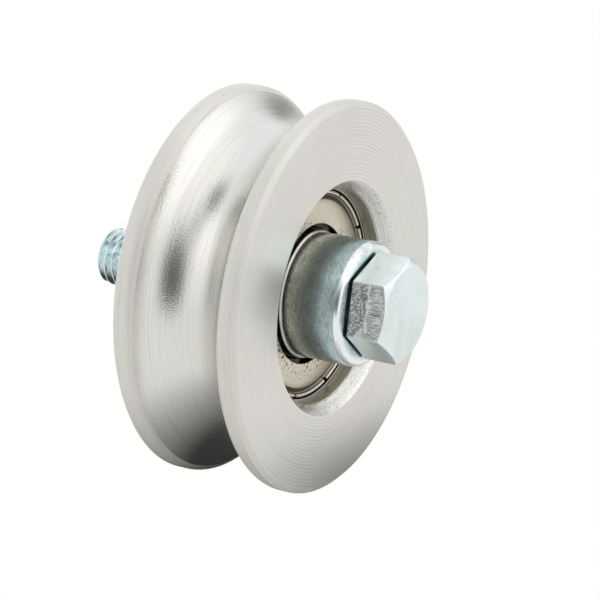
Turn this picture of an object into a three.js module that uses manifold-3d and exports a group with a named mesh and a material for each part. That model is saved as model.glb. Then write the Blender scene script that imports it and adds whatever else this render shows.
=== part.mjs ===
// Sliding-gate wheel: a grooved steel wheel on a shielded deep-groove ball bearing, carried by two
// stepped spacers on a hex bolt with a nut. Millimetres, +Z up. The origin is the wheel's centre and
// Y is the axle: the bolt's head is on the -Y side and its threaded end on the +Y side.
import * as THREE from 'three';
import { mergeVertices } from 'three/addons/utils/BufferGeometryUtils.js';
import Module from 'manifold-3d';

const wasm = await Module();
wasm.setup();

// ---- Driving dimensions ---------------------------------------------------------------------

// Wheel
const WHEEL_DIA = 80;
const WHEEL_WIDTH = 28;
const EDGE_CHAMFER = 0.9;
const TRACK_DIA = 20;            // round track bar that the groove runs on
const TRACK_CLEARANCE = 0.3;     // groove radius over the bar's radius
const GROOVE_DEPTH = 7.4;
const LIP_ROUND = 1.8;           // radius between the groove and the outer land
const SHOULDER_HEIGHT = 1.5;     // head-side step that stops the bearing's outer ring
const POCKET_CHAMFER = 2;        // head-side pocket's cone: radial width, then depth
const POCKET_CHAMFER_DEPTH = 2.8;
const REAR_CHAMFER = 2.0;        // lead-in of the bore on the nut side

// Bearing, 17 x 47 x 14 with these balls
const BEARING_BORE = 17;
const BEARING_DIA = 47;
const BEARING_OFFSET = -1.4;     // bearing's centre along the axle
const BALL_DIA = 8.731;
const BALL_COUNT = 7;
const BALL_SIDE_ROOM = 2.6345;   // from the balls to the bearing's faces
const INNER_LAND_SHARE = 0.3207; // ring beside its race to the ball circle, over the ball's diameter
const OUTER_LAND_SHARE = 0.3436;
const RACE_CONFORMITY = 1.04;    // race section radius over the ball's radius
const RING_CHAMFER = 1.0;
const SHIELD_SEAT_WALL = 1.9;    // outer ring outside the step that holds a shield
const SHIELD_SEAT_DEPTH = 1.7;
const SHIELD_RIM = 2;            // shield's rolled bead and valley, from the step inwards
const SHIELD_GAP = 1.2;          // radial, inner ring to the shield's bore
const SHIELD_SHEET = 0.45;
const BEAD_DEPTH = 0.1;          // shield's bead, plate and valley below the bearing's face
const PLATE_DEPTH = 0.5;
const VALLEY_DEPTH = 0.95;
const BEAD_WIDTH = 0.75;
const CAGE_SHEET = 0.75;
const CAGE_WIDTH = 4.6;          // radial width of the cage's ribbon
const RIVET_SHARE = 0.48;        // rivet and rivet head over the flat between two cups
const RIVET_HEAD_SHARE = 0.75;
const RIVET_HEAD = 0.5;

// Internal retaining ring behind the bearing
const CIRCLIP_THICKNESS = 1.75;
const CIRCLIP_GROOVE_DEPTH = 1.25;
const CIRCLIP_GROOVE_WIDTH = 1.85;
const CIRCLIP_BAND = 3.6;        // radial width opposite the gap
const CIRCLIP_LUG = 6.2;         // radial length of a lug
const CIRCLIP_LUG_HOLE = 2.5;
const CIRCLIP_HOLE_INSET = 2.4;  // lug's inner edge to its hole's centre
const CIRCLIP_GAP_DEG = 34;
const CIRCLIP_LUG_DEG = 13;
const CIRCLIP_FLARE_DEG = 3;     // from a lug to the band
const CIRCLIP_TAPER = 0.3;       // share of the band's width lost beside a lug

// Spacers
const SPACER_DIA = 25.5;
const SPACER_LENGTH = 12.8;      // from the bearing's inner ring to the bolt head or the nut
const SPACER_EDGE_ROUND = 1.2;   // outer end
const SPACER_FOOT_CHAMFER = 0.4; // end against the bearing
const SPACER_BORE_CLEARANCE = 0.2;
const SPACER_BORE_CHAMFER = 0.5;

// Bolt and nut, M12 with 19 mm across flats
const BOLT_DIA = 12;
const BOLT_LENGTH = 62.5;        // under the head to the tip
const BOLT_TIP_CHAMFER = 1.1;
const FLATS_SHARE = 19 / 12;     // hexagon across flats over the bolt's diameter
const HEAD_HEIGHT = 8;
const HEAD_TURN_DEG = 17;        // first corner, from +X towards +Z
const WASHER_FACE = 0.5;         // thin round face under the head
const WASHER_SHARE = 0.9;        // its diameter over the size across flats
const NUT_HEIGHT = 10;
const NUT_COUNTERSINK = 1;       // depth and radial width at each end of the nut's hole
const HEX_CHAMFER_DEG = 30;
const HEX_CHAMFER_SHARE = 0.96;  // chamfer circle over the size across flats

// Clearances
const RUNNING = 0.1;             // ball to race
const CAGE_POCKET = 0.22;        // ball to cage pocket
const SEAT = 0.05;               // radial, between a pressed piece and its seat
const FACE_GAP = 0.02;           // between two faces that are clamped together
const CLIP_GAP = 0.1;            // circlip's edge and shield's edge to what holds them
const THREAD_GAP = 0.05;         // radial, bolt in nut
const OVERRUN = 1;               // a cutter past what it cuts

// Roundness: sides per full turn
const SIDES_WHEEL = 56;
const SIDES_RING = 48;
const SIDES_SMALL = 36;
const SIDES_RIVET = 8;
const STEPS_EDGE = 3;            // segments in a small rounded edge, in the groove and in a race
const STEPS_GROOVE = 10;
const STEPS_RACE = 6;
const BALL_SEGMENTS = [12, 8];   // round a ball, and from pole to pole
const POCKET_SEGMENTS = [14, 10];
const MERGE_DISTANCE = 1e-4;     // vertices closer than this are one

// ---- Derived sizes and places ---------------------------------------------------------------

const faceY = WHEEL_WIDTH / 2;
const ballR = BALL_DIA / 2;
const bearingR = BEARING_DIA / 2;
const pitchR = (BEARING_BORE + BEARING_DIA) / 4;
const innerLandR = pitchR - BALL_DIA * INNER_LAND_SHARE;
const outerLandR = pitchR + BALL_DIA * OUTER_LAND_SHARE;
const shieldSeatR = bearingR - SHIELD_SEAT_WALL;
const circlipGrooveR = bearingR + CIRCLIP_GROOVE_DEPTH;
const cupR = ballR + CAGE_POCKET + CAGE_SHEET;
const cupSpacing = 2 * (pitchR * Math.sin(Math.PI / BALL_COUNT) - cupR);

const bearingFront = BEARING_OFFSET - ballR - BALL_SIDE_ROOM;
const bearingRear = BEARING_OFFSET + ballR + BALL_SIDE_ROOM;
const frontSpacerEnd = bearingFront - SPACER_LENGTH;
const rearSpacerEnd = bearingRear + SPACER_LENGTH;
const boltTip = frontSpacerEnd + BOLT_LENGTH;
const hexFlats = BOLT_DIA * FLATS_SHARE;

// ---- Helpers --------------------------------------------------------------------------------

const rad = THREE.MathUtils.degToRad;

function arc(cx, cy, r, fromDeg, toDeg, steps) {
  const points = [];
  for (let i = 0; i <= steps; i++) {
    const a = rad(fromDeg + ((toDeg - fromDeg) * i) / steps);
    points.push([cx + r * Math.cos(a), cy + r * Math.sin(a)]);
  }
  return points;
}

// Turns a closed outline of [radius, y] points about the Y axis.
function turned(outline, sides) {
  let twiceArea = 0;
  outline.forEach(([x, y], i) => {
    const [nx, ny] = outline[(i + 1) % outline.length];
    twiceArea += x * ny - nx * y;
  });
  const ordered = twiceArea < 0 ? [...outline].reverse() : outline;
  const points = [...ordered, ordered[0]].map(([x, y]) => new THREE.Vector2(x, y));
  return new THREE.LatheGeometry(points, sides);
}

function toSolid(geometry) {
  const bare = geometry.clone();
  bare.deleteAttribute('normal');
  bare.deleteAttribute('uv');
  const merged = mergeVertices(bare, MERGE_DISTANCE);
  const keep = [];
  const index = merged.index.array;
  for (let i = 0; i < index.length; i += 3) {
    const [a, b, c] = [index[i], index[i + 1], index[i + 2]];
    if (a !== b && b !== c && c !== a) keep.push(a, b, c);
  }
  return new wasm.Manifold(new wasm.Mesh({
    numProp: 3,
    vertProperties: new Float32Array(merged.attributes.position.array),
    triVerts: new Uint32Array(keep),
  }));
}

function toGeometry(solid) {
  const mesh = solid.getMesh();
  const geometry = new THREE.BufferGeometry();
  geometry.setAttribute('position', new THREE.BufferAttribute(mesh.vertProperties.slice(), 3));
  geometry.setIndex(new THREE.BufferAttribute(mesh.triVerts.slice(), 1));
  geometry.computeVertexNormals();
  return geometry;
}

const finishes = {
  turnedSteel: new THREE.MeshStandardMaterial({ color: 0xcfccc6, roughness: 0.35, metalness: 1 }),
  bearingSteel: new THREE.MeshStandardMaterial({ color: 0xb9b7b0, roughness: 0.22, metalness: 1 }),
  shieldSteel: new THREE.MeshStandardMaterial({ color: 0xc9bfa9, roughness: 0.38, metalness: 1 }),
  ballSteel: new THREE.MeshStandardMaterial({ color: 0xdddddd, roughness: 0.08, metalness: 1 }),
  springSteel: new THREE.MeshStandardMaterial({ color: 0x3c3d3f, roughness: 0.45, metalness: 1 }),
  zinc: new THREE.MeshStandardMaterial({ color: 0xc3cfd2, roughness: 0.34, metalness: 1 }),
};

const part = new THREE.Group();

function place(name, geometry, finish) {
  const mesh = new THREE.Mesh(geometry, finishes[finish].clone());
  mesh.name = name;
  part.add(mesh);
  return mesh;
}

// Point on the ball circle: step k of n, with +X first.
function onPitch(k, n = BALL_COUNT) {
  const a = (2 * Math.PI * k) / n;
  return new THREE.Vector3(pitchR * Math.cos(a), 0, pitchR * Math.sin(a));
}

// ---- Wheel ----------------------------------------------------------------------------------

// Outline of the groove and the two lips beside it, from the -Y land to the +Y land: [radius, y].
function grooveOutline(rimR) {
  const grooveR = TRACK_DIA / 2 + TRACK_CLEARANCE;
  const centreR = rimR - GROOVE_DEPTH + grooveR;
  const lipCentreR = rimR - LIP_ROUND;
  const reach = grooveR + LIP_ROUND;
  const rise = centreR - lipCentreR;
  const lipY = Math.sqrt(reach * reach - rise * rise);
  const lean = THREE.MathUtils.radToDeg(Math.atan2(lipY, rise));
  const lip = arc(lipCentreR, -lipY, LIP_ROUND, 0, lean, STEPS_EDGE);
  const floor = arc(centreR, 0, grooveR, 180 + lean, 180 - lean, STEPS_GROOVE).slice(1, -1);
  const farLip = lip.map(([r, y]) => [r, -y]).reverse();
  return [...lip, ...floor, ...farLip];
}

function wheelBody() {
  const rimR = WHEEL_DIA / 2;
  const seatR = bearingR + SEAT;
  const shoulderR = bearingR - SHOULDER_HEIGHT;
  const clipEnd = bearingRear + CIRCLIP_GROOVE_WIDTH;
  return turned([
    [shoulderR + POCKET_CHAMFER, -faceY],
    [rimR - EDGE_CHAMFER, -faceY],
    [rimR, -faceY + EDGE_CHAMFER],
    ...grooveOutline(rimR),
    [rimR, faceY - EDGE_CHAMFER],
    [rimR - EDGE_CHAMFER, faceY],
    [seatR + REAR_CHAMFER, faceY],
    [seatR, faceY - REAR_CHAMFER],
    [seatR, clipEnd],
    [circlipGrooveR, clipEnd],
    [circlipGrooveR, bearingRear],
    [seatR, bearingRear],
    [seatR, bearingFront - FACE_GAP],
    [shoulderR, bearingFront - FACE_GAP],
    [shoulderR, -faceY + POCKET_CHAMFER_DEPTH],
  ], SIDES_WHEEL);
}

// ---- Bearing --------------------------------------------------------------------------------

// Section arc of a race: out is +1 for the outer ring's race and -1 for the inner ring's.
function raceArc(landR, out) {
  const sectionR = ballR * RACE_CONFORMITY;
  const centreR = pitchR + out * (ballR + RUNNING - sectionR);
  const half = THREE.MathUtils.radToDeg(Math.acos((out * (landR - centreR)) / sectionR));
  const middle = out > 0 ? 0 : 180;
  const [from, to] = [middle - out * half, middle + out * half];
  return arc(centreR, BEARING_OFFSET, sectionR, from, to, STEPS_RACE);
}

function innerRing() {
  const bore = BEARING_BORE / 2;
  const land = innerLandR;
  const edge = RING_CHAMFER / 3;
  return turned([
    [bore, bearingFront + RING_CHAMFER],
    [bore + RING_CHAMFER, bearingFront],
    [land - edge, bearingFront],
    [land, bearingFront + edge],
    ...raceArc(land, -1),
    [land, bearingRear - edge],
    [land - edge, bearingRear],
    [bore + RING_CHAMFER, bearingRear],
    [bore, bearingRear - RING_CHAMFER],
  ], SIDES_SMALL);
}

function outerRing() {
  const land = outerLandR;
  const seat = shieldSeatR;
  return turned([
    [seat, bearingFront],
    [bearingR - RING_CHAMFER, bearingFront],
    [bearingR, bearingFront + RING_CHAMFER],
    [bearingR, bearingRear - RING_CHAMFER],
    [bearingR - RING_CHAMFER, bearingRear],
    [seat, bearingRear],
    [seat, bearingRear - SHIELD_SEAT_DEPTH],
    [land, bearingRear - SHIELD_SEAT_DEPTH],
    ...raceArc(land, 1).reverse(),
    [land, bearingFront + SHIELD_SEAT_DEPTH],
    [seat, bearingFront + SHIELD_SEAT_DEPTH],
  ], SIDES_RING);
}

// Pressed sheet shield: a rolled bead at its edge, a valley, and a flat plate to its bore.
// side is -1 on the head side and +1 on the nut side.
function shield(side) {
  const edge = shieldSeatR - CLIP_GAP;
  const plate = shieldSeatR - SHIELD_RIM;
  const bore = innerLandR + SHIELD_GAP;
  const beadInside = edge - BEAD_WIDTH;
  const lip = BEAD_DEPTH + BEAD_WIDTH;
  const corner = SHIELD_SHEET * 2 / 3;
  const face = side < 0 ? bearingFront : bearingRear;
  const outline = [
    [edge, lip],
    [edge, BEAD_DEPTH + corner],
    [edge - corner, BEAD_DEPTH],
    [beadInside, BEAD_DEPTH],
    [plate + corner, VALLEY_DEPTH],
    [plate, PLATE_DEPTH],
    [bore, PLATE_DEPTH],
    [bore, PLATE_DEPTH + SHIELD_SHEET],
    [plate - corner, PLATE_DEPTH + SHIELD_SHEET],
    [plate, VALLEY_DEPTH + SHIELD_SHEET],
    [plate + 2 * corner, VALLEY_DEPTH + SHIELD_SHEET],
    [edge - SHIELD_SHEET, lip],
  ];
  return turned(outline.map(([r, depth]) => [r, face - side * depth]), SIDES_SMALL);
}

// Half of the riveted ribbon cage, on the +Y side of the ball plane.
function cageHalf() {
  const insideR = pitchR - CAGE_WIDTH / 2;
  const outsideR = pitchR + CAGE_WIDTH / 2;
  const pocketR = ballR + CAGE_POCKET;
  const rivetHoleR = (cupSpacing * RIVET_SHARE) / 2 + SEAT;
  const band = (low, high) => toSolid(turned(
    [[insideR, low], [outsideR, low], [outsideR, high], [insideR, high]], SIDES_SMALL));
  const tall = band(FACE_GAP, cupR + OVERRUN);
  let half = band(FACE_GAP, FACE_GAP + CAGE_SHEET);
  const cup = toSolid(new THREE.SphereGeometry(cupR, ...BALL_SEGMENTS));
  const ball = toSolid(new THREE.SphereGeometry(pocketR, ...POCKET_SEGMENTS));
  const hole = toSolid(new THREE.CylinderGeometry(rivetHoleR, rivetHoleR, 2 * cupR, SIDES_RIVET));
  for (let k = 0; k < BALL_COUNT; k++) {
    half = half.add(cup.translate(onPitch(k).toArray()).intersect(tall));
  }
  for (let k = 0; k < BALL_COUNT; k++) {
    half = half.subtract(ball.translate(onPitch(k).toArray()));
    half = half.subtract(hole.translate(onPitch(k + 0.5).toArray()));
  }
  return toGeometry(half);
}

function rivet() {
  const shank = (cupSpacing * RIVET_SHARE) / 2;
  const head = (cupSpacing * RIVET_HEAD_SHARE) / 2;
  const crown = (shank + head) / 2;
  const grip = FACE_GAP * 2 + CAGE_SHEET;
  const end = grip + RIVET_HEAD;
  return turned([
    [0, -end], [crown, -end], [head, -grip], [shank, -grip],
    [shank, grip], [head, grip], [crown, end], [0, end],
  ], SIDES_RIVET);
}

// ---- Retaining ring -------------------------------------------------------------------------

// Open spring ring with two drilled lugs, its gap at the bottom.
function circlip() {
  const outer = circlipGrooveR - CLIP_GAP;
  const lugR = outer - CIRCLIP_LUG;
  const open = CIRCLIP_GAP_DEG / 2;
  const lugEnd = open + CIRCLIP_LUG_DEG;
  const bandEnd = lugEnd + CIRCLIP_FLARE_DEG;
  const steps = SIDES_SMALL;
  const at = (r, deg) => [r * Math.sin(rad(deg)), -r * Math.cos(rad(deg))];
  const shape = new THREE.Shape();
  shape.moveTo(...at(outer, open));
  for (let i = 1; i <= steps; i++) {
    shape.lineTo(...at(outer, THREE.MathUtils.lerp(open, 360 - open, i / steps)));
  }
  shape.lineTo(...at(lugR, 360 - open));
  shape.lineTo(...at(lugR, 360 - lugEnd));
  for (let i = 0; i <= steps; i++) {
    const deg = THREE.MathUtils.lerp(360 - bandEnd, bandEnd, i / steps);
    const share = 1 - CIRCLIP_TAPER * (1 - Math.sin(rad(deg / 2)));
    shape.lineTo(...at(outer - CIRCLIP_BAND * share, deg));
  }
  shape.lineTo(...at(lugR, lugEnd));
  shape.lineTo(...at(lugR, open));
  for (const side of [-1, 1]) {
    const [x, y] = at(lugR + CIRCLIP_HOLE_INSET, side * (open + CIRCLIP_LUG_DEG / 2));
    const hole = new THREE.Path();
    hole.absarc(x, y, CIRCLIP_LUG_HOLE / 2, 0, 2 * Math.PI, true);
    shape.holes.push(hole);
  }
  const ring = new THREE.ExtrudeGeometry(shape, {
    depth: CIRCLIP_THICKNESS, bevelEnabled: false, curveSegments: SIDES_RIVET });
  ring.rotateX(Math.PI / 2);
  ring.translate(0, bearingRear + CIRCLIP_THICKNESS + FACE_GAP, 0);
  return ring;
}

// ---- Spacers, bolt and nut ------------------------------------------------------------------

// Stepped spacer, in its place on the head side: a collar outside the bearing and a spigot in
// its bore.
function spacer() {
  const collar = SPACER_DIA / 2;
  const spigot = BEARING_BORE / 2 - SEAT;
  const bore = BOLT_DIA / 2 + SPACER_BORE_CLEARANCE;
  const foot = bearingFront - FACE_GAP;
  const spigotEnd = BEARING_OFFSET - FACE_GAP;
  const edge = SPACER_EDGE_ROUND;
  return turned([
    [bore + SPACER_BORE_CHAMFER, frontSpacerEnd],
    ...arc(collar - edge, frontSpacerEnd + edge, edge, 270, 360, STEPS_EDGE),
    [collar, foot - SPACER_FOOT_CHAMFER],
    [collar - SPACER_FOOT_CHAMFER, foot],
    [spigot, foot],
    [spigot, spigotEnd - SPACER_BORE_CHAMFER],
    [spigot - SPACER_BORE_CHAMFER, spigotEnd],
    [bore, spigotEnd],
    [bore, frontSpacerEnd + SPACER_BORE_CHAMFER],
  ], SIDES_SMALL);
}

// Hexagonal block from y = 0 to height, its first corner at +X, chamfered at its low end and, if
// asked, at its high end.
function hexBlock(height, highChamfer) {
  const cornerR = hexFlats / 2 / Math.cos(Math.PI / 6);
  const discR = (hexFlats / 2) * HEX_CHAMFER_SHARE;
  const drop = (cornerR - discR) * Math.tan(rad(HEX_CHAMFER_DEG));
  const block = new THREE.CylinderGeometry(cornerR, cornerR, height, 6, 1, false, Math.PI / 2);
  block.translate(0, height / 2, 0);
  const high = highChamfer
    ? [[cornerR, height - drop], [discR, height]]
    : [[cornerR + OVERRUN, height]];
  const outline = [[0, 0], [discR, 0], [cornerR, drop], ...high, [0, height]];
  return toSolid(block).intersect(toSolid(turned(outline, SIDES_SMALL)));
}

function bolt() {
  const shankR = BOLT_DIA / 2;
  const under = frontSpacerEnd - FACE_GAP;
  const inHead = under - WASHER_FACE - OVERRUN;
  const shank = toSolid(turned([
    [0, inHead],
    [shankR, inHead],
    [shankR, boltTip - BOLT_TIP_CHAMFER],
    [shankR - BOLT_TIP_CHAMFER, boltTip],
    [0, boltTip],
  ], SIDES_SMALL));
  const washerR = (hexFlats / 2) * WASHER_SHARE;
  const washer = toSolid(turned([
    [0, inHead], [washerR, inHead], [washerR, under], [0, under],
  ], SIDES_SMALL));
  const head = hexBlock(HEAD_HEIGHT, false)
    .rotate([0, -HEAD_TURN_DEG, 0])
    .translate([0, under - WASHER_FACE - HEAD_HEIGHT, 0]);
  return toGeometry(head.add(washer).add(shank));
}

function nut() {
  const holeR = BOLT_DIA / 2 + THREAD_GAP;
  const wide = holeR + NUT_COUNTERSINK + OVERRUN;
  const cutter = toSolid(turned([
    [0, -OVERRUN],
    [wide, -OVERRUN],
    [holeR, NUT_COUNTERSINK],
    [holeR, NUT_HEIGHT - NUT_COUNTERSINK],
    [wide, NUT_HEIGHT + OVERRUN],
    [0, NUT_HEIGHT + OVERRUN],
  ], SIDES_SMALL));
  const block = hexBlock(NUT_HEIGHT, true).subtract(cutter);
  return toGeometry(block.translate([0, rearSpacerEnd + FACE_GAP, 0]));
}

// ---- Assembly -------------------------------------------------------------------------------

place('wheel', wheelBody(), 'turnedSteel');
place('bearing_outer_ring', outerRing(), 'bearingSteel');
place('front_shield', shield(-1), 'shieldSteel');
place('rear_shield', shield(1), 'shieldSteel');
place('retaining_ring', circlip(), 'springSteel');

place('bearing_inner_ring', innerRing(), 'bearingSteel');
const halfGeometry = cageHalf();
place('cage_rear_half', halfGeometry, 'bearingSteel').position.y = BEARING_OFFSET;
const frontHalf = place('cage_front_half', halfGeometry.clone(), 'bearingSteel');
frontHalf.position.y = BEARING_OFFSET;
frontHalf.rotation.x = Math.PI;
for (let k = 0; k < BALL_COUNT; k++) {
  const sphere = new THREE.SphereGeometry(ballR, ...BALL_SEGMENTS);
  const ball = place(`ball_${k + 1}`, sphere, 'ballSteel');
  ball.position.copy(onPitch(k)).setY(BEARING_OFFSET);
  const pin = place(`cage_rivet_${k + 1}`, rivet(), 'bearingSteel');
  pin.position.copy(onPitch(k + 0.5)).setY(BEARING_OFFSET);
}

place('front_spacer', spacer(), 'zinc');
const rearSpacer = place('rear_spacer', spacer(), 'zinc');
rearSpacer.position.y = 2 * BEARING_OFFSET;
rearSpacer.rotation.x = Math.PI;
place('hex_bolt', bolt(), 'zinc');
place('hex_nut', nut(), 'zinc');

export default part;
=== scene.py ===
"""Looks of the gate wheel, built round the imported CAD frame. Lengths below are millimetres unless a
name or a heading says otherwise, and the scales of noise are per metre. The Y axis is the axle, with
the bolt's head on the -Y side."""
import math

import bmesh
import bpy
from mathutils import Matrix, Quaternion, Vector


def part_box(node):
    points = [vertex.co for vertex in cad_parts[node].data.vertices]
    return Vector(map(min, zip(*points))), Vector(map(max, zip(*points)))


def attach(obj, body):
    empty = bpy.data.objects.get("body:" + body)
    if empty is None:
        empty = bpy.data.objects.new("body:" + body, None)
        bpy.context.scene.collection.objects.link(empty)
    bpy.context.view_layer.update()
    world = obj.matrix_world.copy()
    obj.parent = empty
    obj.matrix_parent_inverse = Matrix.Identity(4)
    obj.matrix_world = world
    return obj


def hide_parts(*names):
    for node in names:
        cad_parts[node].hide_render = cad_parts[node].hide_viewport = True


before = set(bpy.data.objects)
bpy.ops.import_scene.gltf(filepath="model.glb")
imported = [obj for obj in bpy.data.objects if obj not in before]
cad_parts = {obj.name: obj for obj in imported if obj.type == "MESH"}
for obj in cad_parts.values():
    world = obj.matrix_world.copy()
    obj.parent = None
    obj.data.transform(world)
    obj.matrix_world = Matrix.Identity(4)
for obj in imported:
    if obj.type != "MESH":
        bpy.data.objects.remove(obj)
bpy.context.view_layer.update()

MM = 0.001
TAU = 2 * math.pi


# ---- Places and sizes read from the frame ------------------------------------------------------

def span(node):
    """(lowest y, highest y, outer radius) of a turned CAD node about the axle, in mm."""
    low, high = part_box(node)
    return low.y / MM, high.y / MM, max(high.x, high.z, -low.x, -low.z) / MM


FACE_LOW, FACE_HIGH, RIM_R = span("wheel")
RING_LOW, RING_HIGH, RING_R = span("bearing_outer_ring")
SPACER_LOW, SPACER_HIGH, SPACER_R = span("front_spacer")
REAR_SPACER_LOW, REAR_SPACER_HIGH, _ = span("rear_spacer")
BOLT_LOW, BOLT_HIGH, _ = span("hex_bolt")
NUT_LOW, NUT_HIGH, _ = span("hex_nut")
CLIP_LOW, CLIP_HIGH, CLIP_R = span("retaining_ring")
BEARING_MID = (RING_LOW + RING_HIGH) / 2

# ---- Sizes of the features, as in the CAD source -----------------------------------------------------

# Wheel
GROOVE_R = 10.3
GROOVE_DEPTH = 7.4
LIP_ROUND = 1.8
LIP_RISE = GROOVE_R + LIP_ROUND - GROOVE_DEPTH
LIP_Y = math.sqrt((GROOVE_R + LIP_ROUND) ** 2 - LIP_RISE ** 2)
LIP_FOOT_Y = LIP_Y * GROOVE_R / (GROOVE_R + LIP_ROUND)     # where a lip runs into the groove
EDGE_CHAMFER = 0.9
POCKET_MOUTH_R = 24
POCKET_CHAMFER = 2.8
SHOULDER_R = 22
SEAT_R = 23.55
REAR_CHAMFER = 2.0

# Circlip
CLIP_GROOVE_R = 24.75
CLIP_GROOVE = 1.85
CLIP_BAND = 3.6
CLIP_LUG = 6.2
CLIP_HOLE = 2.5
CLIP_HOLE_INSET = 2.4
CLIP_GAP_HALF_DEG = 17
CLIP_LUG_DEG = 13
CLIP_FLARE_DEG = 3
CLIP_LUG_ROUND_DEG = 1
CLIP_TAPER = 0.3        # share of the band's width lost beside a lug
CLIP_EDGE = 0.12

# Bearing
FACE_GAP = 0.02         # between faces that are clamped together
RING_CHAMFER = 1.0
LAND_CHAMFER = 0.33
BORE_R = 8.5
INNER_LAND_R = 13.2
OUTER_LAND_R = 19
BALL_R = 8.731 / 2
PITCH_R = 16
BALLS = 7
RACE_CONFORMITY = 1.04  # race section radius over the ball's radius
RACE_R = BALL_R * RACE_CONFORMITY
RUNNING = 0.1
CAGE_SHEET = 0.75
CAGE_WIDTH = 4.6
CAGE_POCKET = 0.22
RIVET_R = 0.8
RIVET_HEAD_R = 1.25
RIVET_HEAD = 0.5

# Shields: depths are from the bearing's face inwards
SHIELD_SEAT_R = 21.6
SHIELD_SEAT = 1.7
SHIELD_BORE_R = 14.4
SHIELD_PLATE_R = 19.6
SHIELD_SHEET = 0.45
BEAD_R = SHIELD_SEAT_R - 0.3
PLATE_DEPTH = 0.5
VALLEY_DEPTH = 0.95
CREST_DEPTH = 0.1
CRIMPED_FROM_R = SHIELD_PLATE_R + 0.7
CRIMPS = 10
CRIMP_STEP = math.radians(33.85)
FIRST_CRIMP = math.radians(59.5)
CRIMP_HALF = 0.5 / BEAD_R
CRIMP_INWARD = 0.25
CRIMP_DEPTH = 1.1
CRIMP_EDGE = 0.5        # radial width over which a crimp reaches its full depth

# Collars
SPIGOT_R = 8.45
SPACER_BORE_R = 6.2
SPACER_BORE_CHAMFER = 0.5
SPACER_FOOT_CHAMFER = 0.4
SPACER_ROUND = 1.25

# Bolt and nut
BOLT_R = 6.0
TIP_ROUND = 2.1
THREAD_PITCH = 1.75
THREAD_LENGTH = 36
THREAD_DEPTH = 0.6134 * THREAD_PITCH
THREAD_RUN_IN = 1.2     # turns over which the thread deepens
THREAD_GAP = 0.05
HEX_FLATS = 19
HEX_CORNER_ROUND = 0.8
HEX_DISC_R = HEX_FLATS / 2 * 0.96       # flat end inside the corners' chamfer
HEX_SLOPE = math.tan(math.radians(30))
HEX_STEPS = 14          # points along a side of the hexagon
HEX_SHARP_DEG = 24
HEAD_TURN = math.radians(17)
WASHER_FACE = 0.5
WASHER_R = 8.5
NUT_COUNTERSINK = 1.0
NUT_COUNTERSINK_WIDTH = 0.75

# Rough side of the bolt's head
ROUGH_FACET = 2         # counted from the hexagon's first corner
RUST_Y = -29.3
TEAR_Y = -25.6          # where the rough side's grain turns into streaks
FOLD_Y = -24.9          # smooth fold at the rough side's lower corner
FOLD_HALF = 1.9
FOLD_TOP = -0.9
FOLD_FOOT = -3.3


# ---- Mesh helpers ------------------------------------------------------------------------------

SIDE_SHARE = 0.45       # most of an outline's side that one rounded corner may take
ROUND_STEP_DEG = 18
WELD_M = 1e-7


def arc(cr, cy, radius, start, end, steps):
    """Points of an arc in the (r, y) section plane; angles in degrees, 0 along +r."""
    step = (end - start) / steps
    angles = [math.radians(start + step * i) for i in range(steps + 1)]
    return [(cr + radius * math.cos(a), cy + radius * math.sin(a)) for a in angles]


def rounded(outline):
    """Rounds the corners of a closed outline of (r, y[, radius[, skin]]) points, and returns
    (r, y, skin) points."""
    out = []
    count = len(outline)
    for i, point in enumerate(outline):
        r, y = point[0], point[1]
        radius = point[2] if len(point) > 2 else 0
        skin = point[3] if len(point) > 3 else 0
        if not radius:
            out.append((r, y, skin))
            continue
        here = Vector((r, y))
        before = Vector(outline[i - 1][:2]) - here
        after = Vector(outline[(i + 1) % count][:2]) - here
        turn = before.angle(after)
        reach = min(radius / math.tan(turn / 2), SIDE_SHARE * before.length, SIDE_SHARE * after.length)
        a = here + before.normalized() * reach
        b = here + after.normalized() * reach
        steps = max(2, int(math.degrees(math.pi - turn) / ROUND_STEP_DEG))
        for k in range(steps + 1):
            t = k / steps
            p = a.lerp(here, t).lerp(here.lerp(b, t), t)
            out.append((p.x, p.y, skin))
    return out


def finish_mesh(name, verts, faces, skins, materials, sharp=32):
    """Makes an object of mm vertices, with its normals out, smooth but for its sharp edges."""
    mesh = bpy.data.meshes.new(name)
    mesh.from_pydata([Vector(v) * MM for v in verts], [], faces)
    for material in materials:
        mesh.materials.append(material)
    for polygon, skin in zip(mesh.polygons, skins):
        polygon.material_index = skin
    bm = bmesh.new()
    bm.from_mesh(mesh)
    bmesh.ops.remove_doubles(bm, verts=bm.verts, dist=WELD_M)
    bmesh.ops.dissolve_degenerate(bm, edges=bm.edges, dist=WELD_M / 10)
    bmesh.ops.recalc_face_normals(bm, faces=bm.faces)
    bm.to_mesh(mesh)
    bm.free()
    for polygon in mesh.polygons:
        polygon.use_smooth = True
    mesh.set_sharp_from_angle(angle=math.radians(sharp))
    obj = bpy.data.objects.new(name, mesh)
    bpy.context.scene.collection.objects.link(obj)
    return obj


def turned(name, outline, materials, sides=192, closed=True, bend=None):
    """Turns an outline of (r, y, skin) points about the Y axis. bend(r, y, angle) may move a
    point."""
    verts = []
    for i in range(sides):
        a = TAU * i / sides
        for r, y, _ in outline:
            if bend:
                r, y = bend(r, y, a)
            verts.append((r * math.cos(a), y, r * math.sin(a)))
    count = len(outline)
    faces = []
    skins = []
    for i in range(sides):
        for j in range(count if closed else count - 1):
            k = (j + 1) % count
            n = (i + 1) % sides
            faces.append((i * count + j, i * count + k, n * count + k, n * count + j))
            skins.append(outline[j][2])
    return finish_mesh(name, verts, faces, skins, materials)


def present(obj, body, nodes):
    """Puts a finished piece in the place of its CAD nodes."""
    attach(obj, body)
    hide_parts(*nodes)


# ---- Material helpers --------------------------------------------------------------------------

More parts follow.
